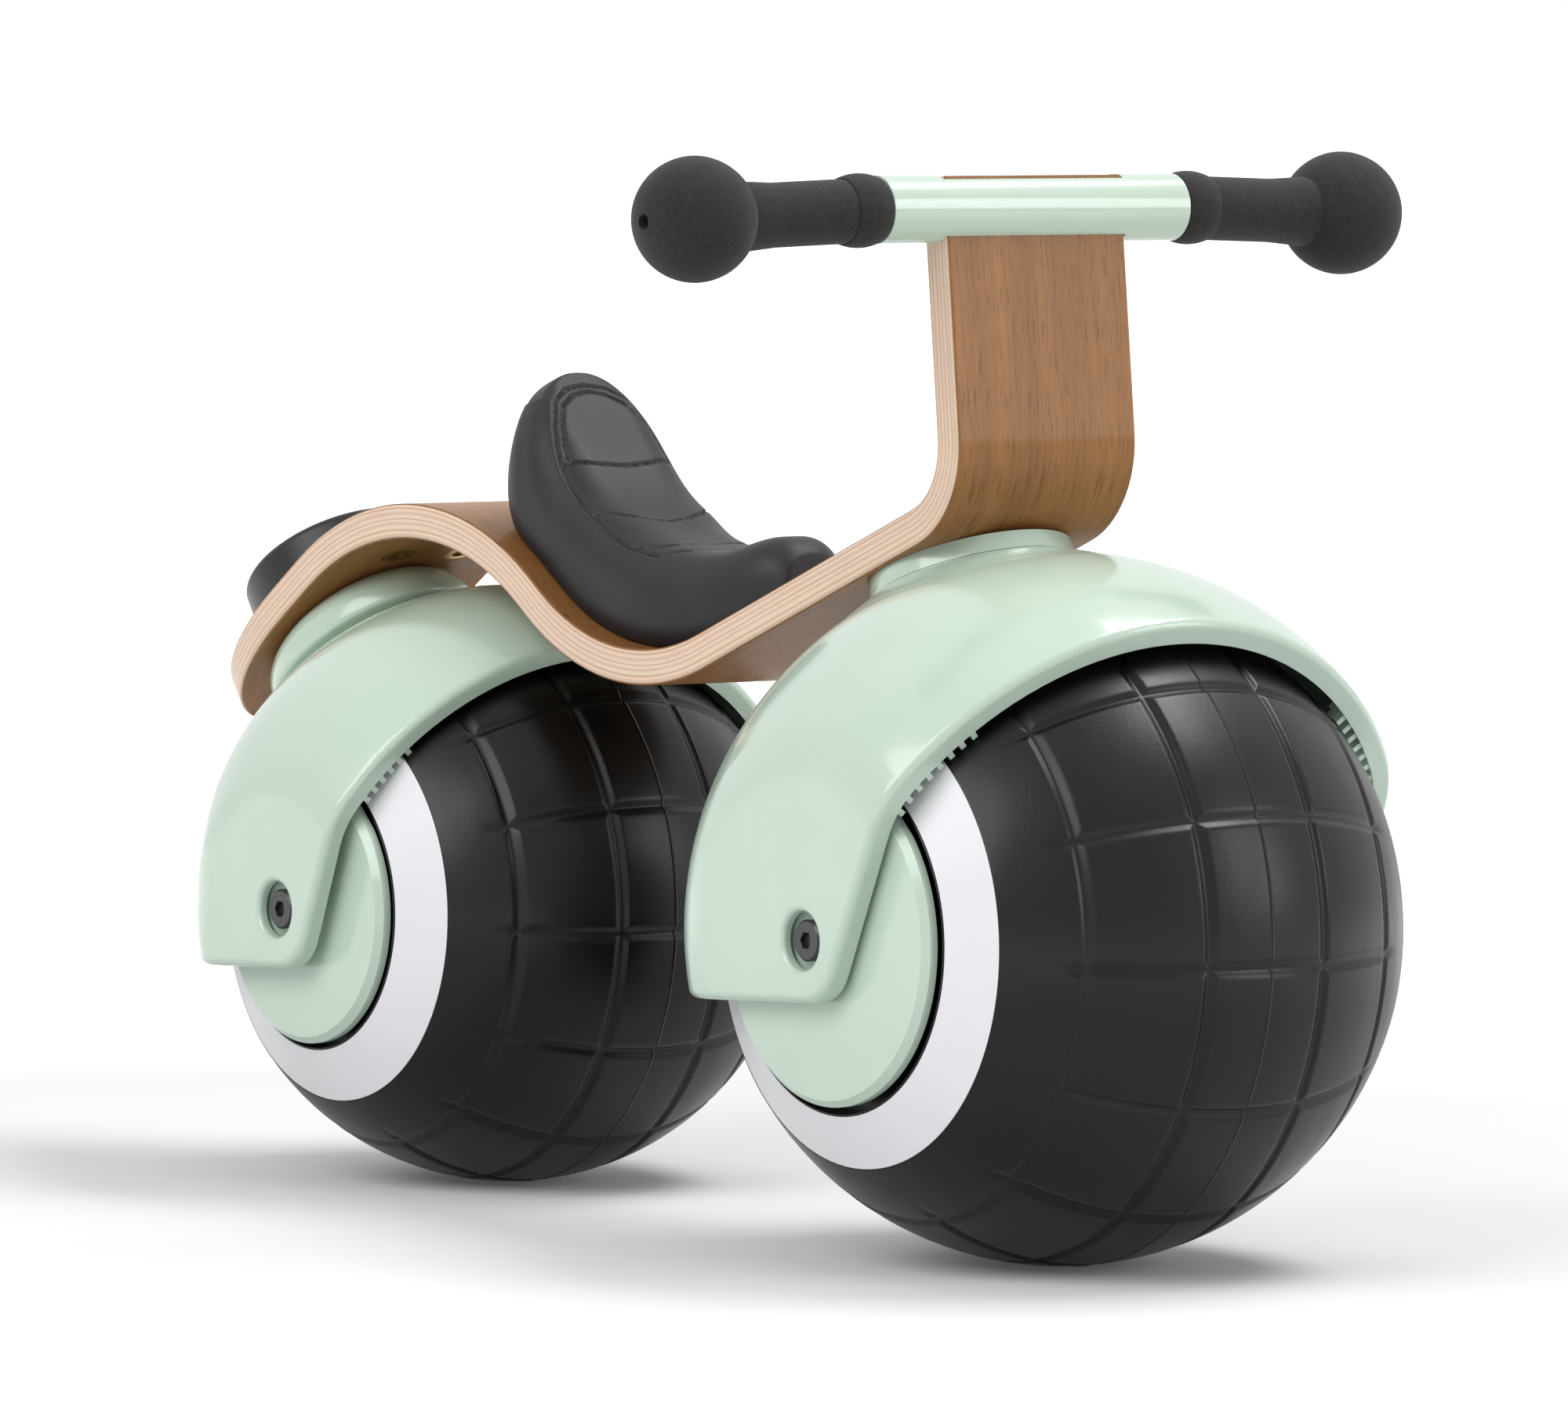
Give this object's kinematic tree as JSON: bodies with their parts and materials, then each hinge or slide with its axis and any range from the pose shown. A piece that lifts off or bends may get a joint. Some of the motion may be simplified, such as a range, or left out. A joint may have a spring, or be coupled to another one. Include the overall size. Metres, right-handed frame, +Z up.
{
  "type": "balance bike",
  "caption": "Toddler ride-on with two ball-shaped wheels in line, a bent plywood frame, moulded saddle, mudguards and a fixed handlebar; the front fork steers.",
  "frame": {"origin": "on the ground, midway along the length and the width", "axes": "+X forward, +Y to the rider's left, +Z up"},
  "size_m": [0.5694, 0.306, 0.3608],
  "materials": {
    "birch_ply": "bent birch plywood with a brown veneer, clear lacquer",
    "mint_paint": "gloss mint paint on tube",
    "mint_plastic": "gloss mint moulding",
    "foam_grip": "matt black foam",
    "soft_saddle": "soft-touch black moulding",
    "black_pad": "matt black pad",
    "ball_rubber": "satin black rubber",
    "white_plastic": "white moulded ring",
    "core_plastic": "black moulded core",
    "grey_nylon": "plain bearing plastic",
    "zinc_steel": "zinc-plated steel",
    "black_steel": "black bolt",
    "brass_insert": "turned brass"
  },
  "bodies": {
    "frame": {"accessory_inserts": "brass_insert", "bar_screws": "zinc_steel", "collar_screws": "zinc_steel", "grip_left": "foam_grip", "grip_right": "foam_grip", "handlebar_tube": "mint_paint", "head_collar": "mint_plastic", "ply_frame": "birch_ply", "rear_axle": "zinc_steel", "rear_axle_bolts": "black_steel", "rear_collar": "mint_plastic", "rear_cover_left": "mint_plastic", "rear_cover_right": "mint_plastic", "rear_mount_bolt": "zinc_steel", "rear_mount_nut": "zinc_steel", "rear_mudguard": "mint_plastic", "seat": "soft_saddle", "seat_bolts": "zinc_steel", "seat_nuts": "zinc_steel", "seat_washers": "zinc_steel", "steer_bolt": "zinc_steel", "steer_nut": "zinc_steel", "steer_stop": "zinc_steel", "tail_pad": "black_pad"},
    "front_fork": {"front_mudguard": "mint_plastic", "steer_bush": "grey_nylon", "front_cover_left": "mint_plastic", "front_cover_right": "mint_plastic", "front_axle": "zinc_steel", "front_axle_bolts": "black_steel"},
    "front_wheel": {"front_ball": "ball_rubber", "front_band_left": "white_plastic", "front_band_right": "white_plastic", "front_core": "core_plastic", "front_bushes": "grey_nylon"},
    "rear_wheel": {"rear_ball": "ball_rubber", "rear_band_left": "white_plastic", "rear_band_right": "white_plastic", "rear_core": "core_plastic", "rear_bushes": "grey_nylon"}
  },
  "joints": [
    {"name": "steer", "type": "hinge", "parent": "frame", "child": "front_fork", "pos_m": [0.17129, 0, 0.10851], "axis": [-0.373, 0, 0.9278], "range_deg": [-20, 20]},
    {"name": "front_wheel_spin", "type": "hinge", "parent": "front_fork", "child": "front_wheel", "pos_m": [0.175, 0, 0.11], "axis": [0, 1, 0], "continuous": true},
    {"name": "rear_wheel_spin", "type": "hinge", "parent": "frame", "child": "rear_wheel", "pos_m": [-0.1342, 0, 0.0974], "axis": [0, 1, 0], "continuous": true}
  ]
}
